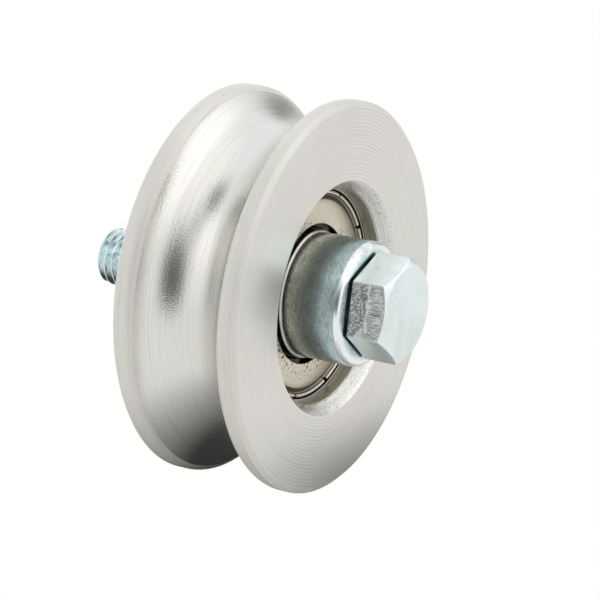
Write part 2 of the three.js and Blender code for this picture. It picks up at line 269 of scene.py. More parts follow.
class Graph:
    """A material's node tree, made one node at a time."""

    def __init__(self, name):
        self.material = bpy.data.materials.new(name)
        self.material.use_nodes = True
        self.tree = self.material.node_tree
        self.shader = self.tree.nodes["Principled BSDF"]

    def node(self, kind, inputs=None, **settings):
        made = self.tree.nodes.new("ShaderNode" + kind)
        for key, value in settings.items():
            setattr(made, key, value)
        for key, value in (inputs or {}).items():
            self.feed(made.inputs[key], value)
        return made

    def feed(self, socket, value):
        if isinstance(value, bpy.types.NodeSocket):
            self.tree.links.new(value, socket)
        else:
            socket.default_value = value

    def math(self, operation, a, b=0.0):
        return self.node("Math", {0: a, 1: b}, operation=operation).outputs[0]

    def place(self):
        """The point's own place in metres, which turns with its body."""
        return self.node("TexCoord").outputs["Object"]

    def axes(self):
        split = self.node("SeparateXYZ", {0: self.place()})
        return split.outputs[0], split.outputs[1], split.outputs[2]

    def radius(self):
        x, _, z = self.axes()
        squares = self.math("ADD", self.math("MULTIPLY", x, x), self.math("MULTIPLY", z, z))
        return self.math("SQRT", squares)

    def noise(self, vector, scale, detail=3.0, rough=0.5, distort=0.0):
        made = self.node("TexNoise", {
            "Vector": vector, "Scale": scale, "Detail": detail, "Roughness": rough,
            "Distortion": distort})
        return made.outputs["Fac"]

    def lines(self, coordinate, per_metre, detail=2.0, rough=0.6):
        """Uneven parallel tool lines along a coordinate."""
        made = self.node("TexNoise", {
            "W": coordinate, "Scale": per_metre, "Detail": detail, "Roughness": rough},
            noise_dimensions="1D")
        return made.outputs["Fac"]

    def drawn(self, across, along_scale, across_scale, detail=2.0):
        """Broken scratches that run round the axle, set apart along the coordinate across."""
        x, _, z = self.axes()
        vector = self.node("CombineXYZ", {
            0: self.math("MULTIPLY", x, along_scale),
            1: self.math("MULTIPLY", across, across_scale),
            2: self.math("MULTIPLY", z, along_scale)}).outputs[0]
        return self.noise(vector, 1.0, detail)

    def ramp(self, factor, *stops):
        made = self.node("ValToRGB", {0: factor})
        elements = made.color_ramp.elements
        while len(elements) < len(stops):
            elements.new(0.5)
        for element, (position, colour) in zip(elements, stops):
            element.position = position
            element.color = (*colour, 1.0)
        return made.outputs[0]

    def level(self, factor, low, high, out_low, out_high):
        made = self.node("MapRange", {
            0: factor, 1: low, 2: high, 3: out_low, 4: out_high}, clamp=True)
        return made.outputs[0]

    def mix(self, factor, a, b, blend="MIX"):
        made = self.node("Mix", {0: factor}, data_type="RGBA", blend_type=blend)
        self.feed(made.inputs[6], a if isinstance(a, bpy.types.NodeSocket) else (*a, 1.0))
        self.feed(made.inputs[7], b if isinstance(b, bpy.types.NodeSocket) else (*b, 1.0))
        return made.outputs[2]

    def bump(self, height, strength, distance_mm):
        inputs = {"Height": height, "Strength": strength, "Distance": distance_mm * MM}
        return self.node("Bump", inputs).outputs[0]

    def finish(self, colour, roughness, normal, anisotropic=0.0):
        """Feeds the shader as a metal; anisotropic gloss runs round the axle."""
        s = self.shader.inputs
        self.feed(s["Base Color"], colour)
        self.feed(s["Roughness"], roughness)
        self.feed(s["Normal"], normal)
        s["Metallic"].default_value = 1.0
        if anisotropic:
            s["Anisotropic"].default_value = anisotropic
            s["Anisotropic Rotation"].default_value = 0.25
            tangent = self.node("Tangent", direction_type="RADIAL", axis="Y")
            self.feed(s["Tangent"], tangent.outputs[0])
        return self.material


COOL = (0.965, 1.0, 0.985)


def turned_steel(name, across, light, dark, rough, feed=0.0, fine=2600.0, depth=0.012,
                 aniso=0.4, grain=0.5):
    """Lathe-cut steel with uneven tool lines across the radius ('r') or along the axle ('y').
    feed is the pitch in mm of regular lines over them, where there are any, fine the number of
    tool lines in a metre, and grain the height of the fine grain over that of the lines."""
    g = Graph(name)
    place = g.place()
    coordinate = g.radius() if across == "r" else g.axes()[1]
    broad = g.noise(place, 26.0, 3.0)
    tint = g.noise(place, 41.0, 2.0)
    speck = g.noise(place, 2800.0, 2.0)
    marks = g.math("ADD", g.math("MULTIPLY", g.lines(coordinate, fine, 2.0), 0.5),
                   g.math("MULTIPLY", g.lines(coordinate, fine * 3.3, 2.0), 0.5))
    if feed:
        wander = g.math("MULTIPLY", g.noise(place, 22.0, 2.0), 0.0009)
        shifted = g.node("CombineXYZ", {0: g.math("ADD", coordinate, wander)}).outputs[0]
        wave = g.node("TexWave", {"Vector": shifted, "Scale": TAU / 20 / (feed * MM),
                                  "Distortion": 0.0, "Detail": 0.0},
                      wave_type="BANDS").outputs["Fac"]
        patch = g.level(g.noise(place, 30.0, 2.0), 0.36, 0.56, 0.16, 0.55)
        marks = g.math("ADD", marks, g.math("MULTIPLY", patch, g.math("SUBTRACT", wave, marks)))
    tone = g.math("ADD", g.math("MULTIPLY", marks, 0.6), g.math("MULTIPLY", broad, 0.4))
    colour = g.ramp(tone, (0.34, dark), (0.60, light))
    cooled = g.mix(1.0, colour, COOL, "MULTIPLY")
    colour = g.mix(g.level(tint, 0.40, 0.60, 0.0, 0.5), colour, cooled)
    scratches = g.level(g.drawn(coordinate, 55.0, 4200.0), 0.60, 0.70, 0.0, 0.35)
    colour = g.mix(scratches, colour, [0.72 * c for c in dark])
    gloss = g.level(g.math("ADD", marks, g.math("MULTIPLY", speck, 0.3)), 0.4, 0.9,
                    rough[0], rough[1])
    height = g.math("SUBTRACT", marks, g.math("MULTIPLY", scratches, 0.8))
    height = g.math("ADD", height, g.math("MULTIPLY", speck, grain))
    return g.finish(colour, gloss, g.bump(height, 0.4, depth), anisotropic=aniso)


def cone_steel(name):
    """The pocket's cone: coarse turning with dark torn specks."""
    g = Graph(name)
    place = g.place()
    along = g.axes()[1]
    lines = g.lines(along, 3200.0, 2.0)
    torn = g.drawn(along, 900.0, 3600.0, 3.0)
    smear = g.noise(place, 160.0, 3.0)
    fine = g.noise(place, 2600.0, 2.0)
    holes = g.level(g.math("ADD", torn, g.math("MULTIPLY", smear, 0.30)), 0.70, 0.82, 0.0, 0.5)
    base = g.ramp(g.math("ADD", g.math("MULTIPLY", lines, 0.6), g.math("MULTIPLY", fine, 0.4)),
                  (0.36, (0.52, 0.51, 0.48)), (0.60, (0.92, 0.91, 0.88)))
    colour = g.mix(holes, base, (0.33, 0.32, 0.28))
    gloss = g.level(fine, 0.3, 0.7, 0.24, 0.42)
    height = g.math("SUBTRACT", g.math("MULTIPLY", lines, 0.6), g.math("MULTIPLY", holes, 0.5))
    return g.finish(colour, gloss, g.bump(height, 0.45, 0.03), anisotropic=0.2)


def zinc(name, cold, warm, deep, rough, patch=90.0, shaded=None):
    """Zinc plating: blue-grey with duller, warmer patches and fine scratches. shaded is the pair
    of radii between which painted shade, darkest inside the first, gives way to it."""
    g = Graph(name)
    place = g.place()
    cloud = g.noise(place, patch, 5.0, 0.62, 0.6)
    fine = g.noise(place, 1400.0, 3.0, 0.6)
    stretched = g.node("Mapping", {"Vector": place, "Scale": (300.0, 5000.0, 300.0)}).outputs[0]
    grain = g.noise(stretched, 1.0, 2.0)
    tone = g.math("ADD", g.math("MULTIPLY", cloud, 0.75), g.math("MULTIPLY", fine, 0.25))
    colour = g.ramp(tone, (0.36, deep), (0.47, warm), (0.60, cold))
    # painted shade: darker towards the middle, between the two radii of shaded
    if shaded:
        colour = g.mix(g.level(g.radius(), shaded[0] * MM, shaded[1] * MM, 0.85, 0.0), colour,
                       (0.30, 0.40, 0.46))
    gloss = g.level(g.math("ADD", cloud, g.math("MULTIPLY", fine, 0.4)), 0.45, 0.95,
                    rough[1], rough[0])
    height = g.math("ADD", g.math("MULTIPLY", fine, 0.6), g.math("MULTIPLY", grain, 0.4))
    return g.finish(colour, gloss, g.bump(height, 0.25, 0.02))


def plain_metal(name, light, dark, rough, scale=400.0, bump=0.15, ground=False):
    """Mottled metal, with fine lines round the axle where it is ground."""
    g = Graph(name)
    spots = g.noise(g.place(), scale, 4.0, 0.6)
    tone = spots
    if ground:
        tone = g.math("ADD", g.math("MULTIPLY", spots, 0.4),
                      g.math("MULTIPLY", g.lines(g.radius(), 6000.0), 0.6))
    colour = g.ramp(tone, (0.32, dark), (0.65, light))
    gloss = g.level(spots, 0.3, 0.7, rough[0], rough[1])
    return g.finish(colour, gloss, g.bump(tone, bump, 0.01))


def sheared_zinc():
    """The one side of the head left rough by the trimming die: torn grain, then streaks that run
    with the axle, a ragged line between them, and a smooth fold at the lower corner, painted lighter on
    its +Y half and darker on its -Y half as light and shade."""
    g = Graph("sheared_zinc")
    place = g.place()
    _, y, z = g.axes()
    streaks = g.node("Mapping", {"Vector": place, "Scale": (3800.0, 560.0, 3800.0)}).outputs[0]
    tear = g.noise(streaks, 1.0, 3.0, 0.7, 0.8)
    pores = g.noise(place, 2500.0, 3.0, 0.7)
    ragged = g.noise(place, 950.0, 4.0, 0.7)
    line = g.math("ADD", y, g.math("MULTIPLY", g.math("SUBTRACT", ragged, 0.5), 0.0022))
    outer = g.level(line, TEAR_Y * MM - 0.0002, TEAR_Y * MM + 0.0002, 1.0, 0.0)
    grain = g.math("ADD", g.math("MULTIPLY", tear, outer),
                   g.math("MULTIPLY", pores, g.math("SUBTRACT", 1.0, outer)))
    tone = g.math("ADD", g.math("MULTIPLY", grain, 0.7), g.math("MULTIPLY", pores, 0.3))
    colour = g.ramp(g.math("ADD", tone, g.math("MULTIPLY", outer, 0.03)),
                    (0.38, (0.14, 0.16, 0.16)), (0.50, (0.43, 0.47, 0.47)),
                    (0.64, (0.84, 0.89, 0.89)))
    off_tear = g.math("ABSOLUTE", g.math("SUBTRACT", line, TEAR_Y * MM))
    edge = g.level(off_tear, 0.00008, 0.00032, 1.0, 0.0)
    colour = g.mix(g.math("MULTIPLY", edge, 0.9), colour, (0.90, 0.93, 0.92))
    rust = g.math("MULTIPLY", g.level(y, RUST_Y * MM, (RUST_Y + 0.5) * MM, 1.0, 0.0),
                  g.level(ragged, 0.5, 0.6, 0.0, 0.6))
    colour = g.mix(rust, colour, (0.50, 0.33, 0.25))
    off = g.math("ABSOLUTE", g.math("SUBTRACT", y, FOLD_Y * MM))
    top = g.level(off, 0.0, FOLD_HALF * MM, FOLD_TOP * MM, FOLD_FOOT * MM)
    fold = g.level(g.math("SUBTRACT", top, z), 0.0, 0.00018, 0.0, 1.0)
    # painted light and shade on the fold: lighter towards +Y, darker towards -Y
    fold_light_and_shade = g.mix(g.level(y, (FOLD_Y - 0.6) * MM, FOLD_Y * MM, 0.0, 1.0), (0.55, 0.61, 0.61),
                  (0.84, 0.90, 0.90))
    colour = g.mix(fold, colour, fold_light_and_shade)
    gloss = g.level(g.math("SUBTRACT", pores, g.math("MULTIPLY", fold, 0.3)), 0.2, 0.7, 0.28, 0.6)
    relief = g.math("ADD", g.math("MULTIPLY", tone, g.math("SUBTRACT", 1.0, fold)),
                    g.math("MULTIPLY", g.math("ADD", edge, fold), 0.25))
    return g.finish(colour, gloss, g.bump(relief, 0.9, 0.16))


# Places on a collar, by the distance from the bearing's middle
OLIVE_UNTIL = 11.8
BLUE_FROM = 16.0
BAND_AT = 12.8
BAND_CORE = 0.6         # half widths of the dark band
BAND_EDGE = 2.6


def spacer_zinc(name):
    """Dull zinc: olive beside the bearing, blue-grey outside, a smudged dark band between."""
    g = Graph(name)
    place = g.place()
    cloud = g.noise(place, 120.0, 5.0, 0.62, 0.6)
    fine = g.noise(place, 1500.0, 3.0, 0.6)
    blotch = g.drawn(g.axes()[1], 260.0, 1500.0, 4.0)
    out = g.math("ABSOLUTE", g.math("SUBTRACT", g.axes()[1], BEARING_MID * MM))
    out = g.math("ADD", out, g.math("MULTIPLY", g.math("SUBTRACT", cloud, 0.5), 0.004))
    base = g.mix(g.level(out, OLIVE_UNTIL * MM, BLUE_FROM * MM, 0.0, 1.0), (0.56, 0.625, 0.60),
                 (0.67, 0.82, 0.87))
    off_band = g.math("ABSOLUTE", g.math("SUBTRACT", out, BAND_AT * MM))
    band = g.math("MULTIPLY", g.level(off_band, BAND_CORE * MM, BAND_EDGE * MM, 1.0, 0.0),
                  g.level(blotch, 0.42, 0.58, 0.15, 1.0))
    flecks = g.level(g.drawn(g.axes()[1], 420.0, 2600.0, 3.0), 0.56, 0.66, 0.0, 0.5)
    stain = g.math("MAXIMUM", g.math("MULTIPLY", band, 0.75), flecks)
    smudged = g.mix(stain, base, (0.24, 0.28, 0.275))
    shade = g.ramp(g.math("ADD", g.math("MULTIPLY", cloud, 0.6), g.math("MULTIPLY", fine, 0.4)),
                   (0.38, (0.66, 0.68, 0.68)), (0.60, (1.0, 1.0, 1.0)))
    colour = g.mix(1.0, smudged, shade, "MULTIPLY")
    gloss = g.level(g.math("ADD", g.math("SUBTRACT", 1.0, band), fine), 0.5, 1.7, 0.46, 0.24)
    return g.finish(colour, gloss, g.bump(fine, 0.22, 0.015))


# Rings on a shield: the radii between which each comes in or goes out
PITS = (15.0, 18.6)
# the next two rings bound painted shade where the plate turns down into the valley
VALLEY_SHADE = (18.3, 19.5)
VALLEY_SHADE_CORE = (19.2, 19.5)
CREST = (20.3, 20.6)


def shield_sheet(name):
    """Satin pressed sheet with dark pits near its bore and painted shade darkening the valley inside
    its bead.
    """
    g = Graph(name)
    radius = g.radius()
    cloud = g.noise(g.place(), 60.0, 3.0)
    grit = g.noise(g.place(), 1800.0, 2.0)
    pits = g.noise(g.place(), 1800.0, 1.0, 0.4)
    spread = g.noise(g.place(), 110.0, 1.0)
    near = g.math("MULTIPLY", g.level(radius, PITS[0] * MM, PITS[1] * MM, 1.0, 0.1),
                  g.level(spread, 0.36, 0.50, 0.0, 1.0))
    pit = g.math("MULTIPLY", g.level(pits, 0.59, 0.63, 0.0, 1.0), near)
    base = g.ramp(g.math("ADD", g.math("MULTIPLY", cloud, 0.6), g.math("MULTIPLY", grit, 0.4)),
                  (0.35, (0.62, 0.565, 0.465)), (0.62, (0.76, 0.705, 0.60)))
    # painted shade: brown, then near black, where the plate turns down into the valley inside the bead
    valley_shaded = g.mix(g.level(radius, VALLEY_SHADE[0] * MM, VALLEY_SHADE[1] * MM, 0.0, 0.5), base,
                   (0.26, 0.205, 0.145))
    valley_shade_core = g.mix(g.level(radius, VALLEY_SHADE_CORE[0] * MM, VALLEY_SHADE_CORE[1] * MM, 0.0, 1.0), valley_shaded,
                   (0.06, 0.042, 0.028))
    crest = g.mix(g.level(radius, CREST[0] * MM, CREST[1] * MM, 0.0, 1.0), valley_shade_core,
                  (0.82, 0.77, 0.70))
    colour = g.mix(pit, crest, (0.05, 0.04, 0.03))
    gloss = g.level(grit, 0.3, 0.7, 0.26, 0.40)
    height = g.math("SUBTRACT", g.math("MULTIPLY", grit, 0.3), pit)
    return g.finish(colour, gloss, g.bump(height, 0.3, 0.03))


# ---- Materials ---------------------------------------------------------------------------------

def make_materials():
    """The materials, by the name of the surface that each lies on."""
    light, dark = (0.785, 0.77, 0.735), (0.66, 0.645, 0.61)
    return {
        "face": turned_steel("wheel_face", "r", light, dark, (0.28, 0.38), 0.72, depth=0.016),
        "groove": turned_steel("wheel_groove", "y", (0.80, 0.79, 0.76), (0.68, 0.67, 0.635),
                               (0.17, 0.27), fine=4300.0, depth=0.026, aniso=0.3, grain=4.5),
        "land": turned_steel("wheel_land", "y", light, dark, (0.60, 0.74), depth=0.012, aniso=0.2),
        "pocket": cone_steel("wheel_pocket"),
        "bore": turned_steel("wheel_bore", "y", (0.50, 0.505, 0.435), (0.33, 0.335, 0.28),
                             (0.3, 0.45), depth=0.01, aniso=0.2),
        "ring": plain_metal("ring_ground", (0.66, 0.64, 0.60), (0.34, 0.325, 0.29), (0.14, 0.26),
                            300.0, 0.08, ground=True),
        "shield": shield_sheet("shield_sheet"),
        # painted shade: the shield seats and the crimps are made near black for the shade in these
        # crevices
        "seam": plain_metal("seam_painted_shade", (0.055, 0.05, 0.04), (0.02, 0.018, 0.015), (0.4, 0.6)),
        # painted shade: balls, cage and rivets are made near black to stand for the shade inside the
        # bearing
        "ball": plain_metal("ball_painted_shade", (0.16, 0.14, 0.11), (0.07, 0.06, 0.05), (0.18, 0.3)),
        "cage": plain_metal("cage_painted_shade", (0.13, 0.115, 0.09), (0.05, 0.045, 0.035),
                            (0.3, 0.5)),
        "clip": plain_metal("clip_oiled", (0.09, 0.09, 0.095), (0.04, 0.04, 0.045), (0.3, 0.5)),
        "spacer": spacer_zinc("spacer_zinc"),
        # painted shade of the bolt's head on the collar's end, between radii 9.6 and 11.5 mm
        "spacer_edge": zinc("spacer_edge", (0.90, 0.955, 0.97), (0.84, 0.89, 0.91),
                            (0.62, 0.63, 0.61), (0.2, 0.3), 200.0, (9.6, 11.5)),
        "head": zinc("head_zinc", (0.82, 0.915, 0.945), (0.785, 0.875, 0.885),
                     (0.69, 0.765, 0.775), (0.22, 0.34), 60.0),
        # a darker copy of the head's zinc, with painted shade on the hexagon's sides
        "flats": zinc("flats_zinc_painted_shade", (0.775, 0.855, 0.85), (0.72, 0.80, 0.785),
                      (0.58, 0.64, 0.63), (0.26, 0.38), 110.0),
        "sheared": sheared_zinc(),
        # painted shade: the underside and washer face of the bolt's head are made near black for the
        # shade under the head
        "under": zinc("shaded_under_head", (0.16, 0.20, 0.22), (0.12, 0.15, 0.16),
                      (0.06, 0.07, 0.08), (0.3, 0.45), 200.0),
        "thread": zinc("thread_zinc", (0.80, 0.91, 0.94), (0.68, 0.79, 0.81),
                       (0.36, 0.45, 0.47), (0.16, 0.28), 300.0),
    }


# ---- Pieces ------------------------------------------------------------------------------------

def groove_outline():
    """Lip, groove and lip from the -Y land to the +Y land."""
    lean = math.degrees(math.atan2(LIP_Y, LIP_RISE))
    lip = arc(RIM_R - LIP_ROUND, -LIP_Y, LIP_ROUND, 0, lean, 10)
    centre = RIM_R - LIP_ROUND + LIP_RISE
    floor = arc(centre, 0, GROOVE_R, 180 + lean, 180 - lean, 64)[1:-1]
    return lip + floor + [(r, -y) for r, y in reversed(lip)]


def build_wheel(skins):
    """The wheel in one piece: faces, lands, groove, pocket, shoulder, seat and circlip groove."""
    face, groove, land, pocket, bore = range(5)
    clip_end = RING_HIGH + CLIP_GROOVE
    seat_end = RING_LOW - FACE_GAP
    ease = 0.01         # a skin takes in its own first point and leaves the next skin's
    low, high = -LIP_FOOT_Y - ease, LIP_FOOT_Y - ease
    curve = [(r, y, 0, groove if low < y < high else land) for r, y in groove_outline()]
    outline = [
        (POCKET_MOUTH_R, FACE_LOW, 0.22, face),
        (RIM_R - EDGE_CHAMFER, FACE_LOW, 0.12, land),
        (RIM_R, FACE_LOW + EDGE_CHAMFER, 0.2, land),
        *curve[:-1],
        (*curve[-1][:3], land),
        (RIM_R, FACE_HIGH - EDGE_CHAMFER, 0.2, land),
        (RIM_R - EDGE_CHAMFER, FACE_HIGH, 0.12, face),
        (SEAT_R + REAR_CHAMFER, FACE_HIGH, 0.22, pocket),
        (SEAT_R, FACE_HIGH - REAR_CHAMFER, 0.2, bore),
        (SEAT_R, clip_end, 0.1, bore),
        (CLIP_GROOVE_R, clip_end, 0.1, bore),
        (CLIP_GROOVE_R, RING_HIGH, 0.1, bore),
        (SEAT_R, RING_HIGH, 0.1, bore),
        (SEAT_R, seat_end, 0, bore),
        (SHOULDER_R, seat_end, 0.12, bore),
        (SHOULDER_R, FACE_LOW + POCKET_CHAMFER, 0.12, pocket),
    ]
    materials = [skins[k] for k in ("face", "groove", "land", "pocket", "bore")]
    obj = turned("wheel_turned", rounded(outline), materials, 288)
    present(obj, "wheel", ["wheel"])


def race(land, out, steps=24):
    """Section arc of a ball race: out is 1 for the outer ring's and -1 for the inner ring's."""
    centre = PITCH_R + out * (BALL_R + RUNNING - RACE_R)
    half = math.degrees(math.acos(out * (land - centre) / RACE_R))
    middle = 0 if out > 0 else 180
    return arc(centre, BEARING_MID, RACE_R, middle - out * half, middle + out * half, steps)


def build_rings(skins):
    """The bearing's two rings, ground, with their races and the outer ring's shield steps."""
    inner = [
        (BORE_R, RING_LOW + RING_CHAMFER, 0.3), (BORE_R + RING_CHAMFER, RING_LOW, 0.3),
        (INNER_LAND_R - LAND_CHAMFER, RING_LOW, 0.15),
        (INNER_LAND_R, RING_LOW + LAND_CHAMFER, 0.15),
        *race(INNER_LAND_R, -1),
        (INNER_LAND_R, RING_HIGH - LAND_CHAMFER, 0.15),
        (INNER_LAND_R - LAND_CHAMFER, RING_HIGH, 0.15),
        (BORE_R + RING_CHAMFER, RING_HIGH, 0.3), (BORE_R, RING_HIGH - RING_CHAMFER, 0.3)]
    present(turned("inner_ring_ground", rounded(inner), [skins["ring"]]),
            "axle", ["bearing_inner_ring"])
    outer = [
        (SHIELD_SEAT_R, RING_LOW, 0.12, 0), (RING_R - RING_CHAMFER, RING_LOW, 0.3),
        (RING_R, RING_LOW + RING_CHAMFER, 0.3), (RING_R, RING_HIGH - RING_CHAMFER, 0.3),
        (RING_R - RING_CHAMFER, RING_HIGH, 0.3), (SHIELD_SEAT_R, RING_HIGH, 0.12, 1),
        (SHIELD_SEAT_R, RING_HIGH - SHIELD_SEAT, 0.1, 1),
        (OUTER_LAND_R, RING_HIGH - SHIELD_SEAT, 0.2),
        *reversed(race(OUTER_LAND_R, 1)),
        (OUTER_LAND_R, RING_LOW + SHIELD_SEAT, 0.2, 1),
        (SHIELD_SEAT_R, RING_LOW + SHIELD_SEAT, 0.1, 1)]
    # the second skin on the shield seats is painted shade
    present(turned("outer_ring_ground", rounded(outer), [skins["ring"], skins["seam"]]),
            "wheel", ["bearing_outer_ring"])


def crimped(side, face, r, y, a):
    """A point of a shield's bead, pressed in where one of the crimps is."""
    if r < CRIMPED_FROM_R:
        return r, y
    turns = (FIRST_CRIMP - a) % TAU / CRIMP_STEP
    off = abs(turns - round(turns)) * CRIMP_STEP
    if round(turns) >= CRIMPS or off > CRIMP_HALF:
        return r, y
    press = math.cos(off / CRIMP_HALF * math.pi / 2) ** 0.5
    deeper = min(1.0, (r - CRIMPED_FROM_R) / CRIMP_EDGE) * press
    depth = side * (face - y)
    return r - CRIMP_INWARD * deeper, y - side * max(0.0, CRIMP_DEPTH - depth) * deeper


def build_shield(skins, side, name, node):
    """Pressed shield with a rolled bead, cut by crimps, round its edge."""
    face = RING_LOW if side < 0 else RING_HIGH
    outside = [
        (BEAD_R, CREST_DEPTH + 0.8, 0.1), (BEAD_R, CREST_DEPTH + 0.12, 0.35),
        (BEAD_R - 0.62, CREST_DEPTH - 0.05, 0.5),
        (SHIELD_PLATE_R + 0.85, VALLEY_DEPTH, 0.35), (SHIELD_PLATE_R + 0.3, VALLEY_DEPTH, 0.25),
        (SHIELD_PLATE_R - 0.15, PLATE_DEPTH, 0.4), (SHIELD_BORE_R, PLATE_DEPTH, 0.12)]
    inside = [
        (SHIELD_BORE_R, PLATE_DEPTH + SHIELD_SHEET, 0.12),
        (SHIELD_PLATE_R - 0.4, PLATE_DEPTH + SHIELD_SHEET, 0.3),
        (SHIELD_PLATE_R + 0.1, VALLEY_DEPTH + SHIELD_SHEET, 0.2),
        (SHIELD_PLATE_R + 0.95, VALLEY_DEPTH + SHIELD_SHEET, 0.2),
        (BEAD_R - 0.5, CREST_DEPTH + 0.8, 0.1)]
    outline = [(r, face - side * depth, skin) for r, depth, skin in rounded(outside + inside)]

    def crimp(r, y, a):
        return crimped(side, face, r, y, a)

    obj = turned(name, outline, [skins["shield"], skins["seam"]], 720, bend=crimp)
    # the crimps take the second skin, which is painted shade
    for polygon in obj.data.polygons:
        x, _, z = polygon.center / MM
        r = math.hypot(x, z)
        if r > CRIMPED_FROM_R + 0.2 and crimp(r, face, math.atan2(z, x))[0] < r - 0.08:
            polygon.material_index = 1
    present(obj, "wheel", [node])


def build_balls(skins):
    """Balls as finely divided spheres, on the ball circle."""
    for k in range(BALLS):
        a = TAU * k / BALLS
        bm = bmesh.new()
        bmesh.ops.create_uvsphere(bm, u_segments=48, v_segments=24, radius=BALL_R * MM)
        centre = Vector((PITCH_R * math.cos(a), BEARING_MID, PITCH_R * math.sin(a))) * MM
        bmesh.ops.translate(bm, verts=bm.verts, vec=centre)
        mesh = bpy.data.meshes.new(f"steel_ball_{k + 1}")
        bm.to_mesh(mesh)
        bm.free()
        mesh.materials.append(skins["ball"])
        for polygon in mesh.polygons:
            polygon.use_smooth = True
        obj = bpy.data.objects.new(mesh.name, mesh)
        bpy.context.scene.collection.objects.link(obj)
        present(obj, f"ball_{k + 1}", [f"ball_{k + 1}"])


def cage_lift(r, a, radius, floor):
    """Height of the ribbon over the balls' plane: a dome over each ball, flat between them."""
    nearest = round(a / (TAU / BALLS)) * TAU / BALLS
    apart = r * r + PITCH_R ** 2 - 2 * r * PITCH_R * math.cos(a - nearest)
    dome = math.sqrt(max(0.0, radius * radius - apart))
    return math.sqrt(dome * dome + floor * floor) if dome > floor else floor


def cage_section(a, rows=8):
    """Closed loop of (r, height) round the ribbon at an angle: its ball side, then its back."""
    cup = BALL_R + CAGE_POCKET
    back = FACE_GAP + CAGE_SHEET
    radii = [PITCH_R - CAGE_WIDTH / 2 + CAGE_WIDTH * j / (rows - 1) for j in range(rows)]
    loop = [(r, cage_lift(r, a, cup, FACE_GAP)) for r in radii]
    loop += [(r, max(cage_lift(r, a, cup + CAGE_SHEET, 0.0), back)) for r in reversed(radii)]
    return loop


def build_cage(skins):
    """Two pressed ribbons that cup the balls."""
    steps = 420
    for side, node in ((1, "cage_rear_half"), (-1, "cage_front_half")):
        verts = []
        for i in range(steps):
            a = TAU * i / steps
            loop = cage_section(a)
            verts += [(r * math.cos(a), BEARING_MID + side * y, r * math.sin(a)) for r, y in loop]
        ring = len(loop)
        faces = [(i * ring + j, i * ring + (j + 1) % ring,
                  (i + 1) % steps * ring + (j + 1) % ring, (i + 1) % steps * ring + j)
                 for i in range(steps) for j in range(ring)]
        obj = finish_mesh(node + "_pressed", verts, faces, [0] * len(faces), [skins["cage"]])
        present(obj, "cage", [node])


def build_rivets(skins):
    """Rivets through both ribbons, between the balls."""
    grip = 2 * FACE_GAP + CAGE_SHEET
    head = [(0, grip + RIVET_HEAD), (0.6, grip + 0.45), (1.0, grip + 0.28), (RIVET_HEAD_R, grip),
            (RIVET_R, grip)]
    outline = [(r, y, 0) for r, y in head] + [(r, -y, 0) for r, y in reversed(head)]
    for k in range(BALLS):
        a = TAU * (k + 0.5) / BALLS
        obj = turned(f"rivet_{k + 1}", outline, [skins["cage"]], 24, closed=False)
        shift = Vector((PITCH_R * math.cos(a), BEARING_MID, PITCH_R * math.sin(a))) * MM
        obj.data.transform(Matrix.Translation(shift))
        present(obj, "cage", [f"cage_rivet_{k + 1}"])


def build_spacer(skins, side, name, node):
    """Collar with a rounded outer end and a spigot in the bearing's bore. side is -1 for the one
    beside the bolt's head and 1 for the one beside the nut."""
    front = side < 0
    outer_end, spigot_end = ((SPACER_LOW, SPACER_HIGH) if front
                             else (REAR_SPACER_HIGH, REAR_SPACER_LOW))
    foot = RING_LOW - FACE_GAP if front else RING_HIGH + FACE_GAP
    body, edge = 0, 1
    chamfer, toe = SPACER_BORE_CHAMFER, SPACER_FOOT_CHAMFER
    outline = [
        (SPACER_BORE_R + chamfer, outer_end, 0.1, edge),
        (SPACER_R - SPACER_ROUND, outer_end, 0.3, edge),
        (SPACER_R - 0.35, outer_end - side * 0.3, 0.6, edge),
        (SPACER_R, outer_end - side * SPACER_ROUND, 0.4, body),
        (SPACER_R, foot + side * toe, 0.12, body), (SPACER_R - toe, foot, 0.1, body),
        (SPIGOT_R, foot, 0, body), (SPIGOT_R, spigot_end + side * chamfer, 0.1, body),
        (SPIGOT_R - chamfer, spigot_end, 0.1, body), (SPACER_BORE_R, spigot_end, 0.1, body),
        (SPACER_BORE_R, outer_end - side * chamfer, 0.1, body)]
    obj = turned(name, rounded(outline), [skins["spacer"], skins["spacer_edge"]], 192)
    present(obj, "axle", [node])


def hexagon():
    """(angle, radius) pairs round the hexagon with softened corners, the first at angle 0. The
    points stand closer together near the corners."""
    half = HEX_FLATS / 2
    soft = half / math.cos(math.pi / 6) - HEX_CORNER_ROUND * 0.155
    pairs = []
    for k in range(6):
        for i in range(HEX_STEPS):
            local = (i / HEX_STEPS - 0.5) * math.pi / 3
            local = math.copysign(abs(local) / (math.pi / 6), local)
            local = math.copysign(1 - (1 - abs(local)) ** 1.6, local) * math.pi / 6
            flat = half / math.cos(local)
            pairs.append(((k + 0.5) * math.pi / 3 + local, min(flat, soft)))
    return pairs


def chamfer_rise(r, least):
    """How far a hexagon's end falls back at a radius, but at least so much."""
    return max(least, (r - HEX_DISC_R) * HEX_SLOPE)


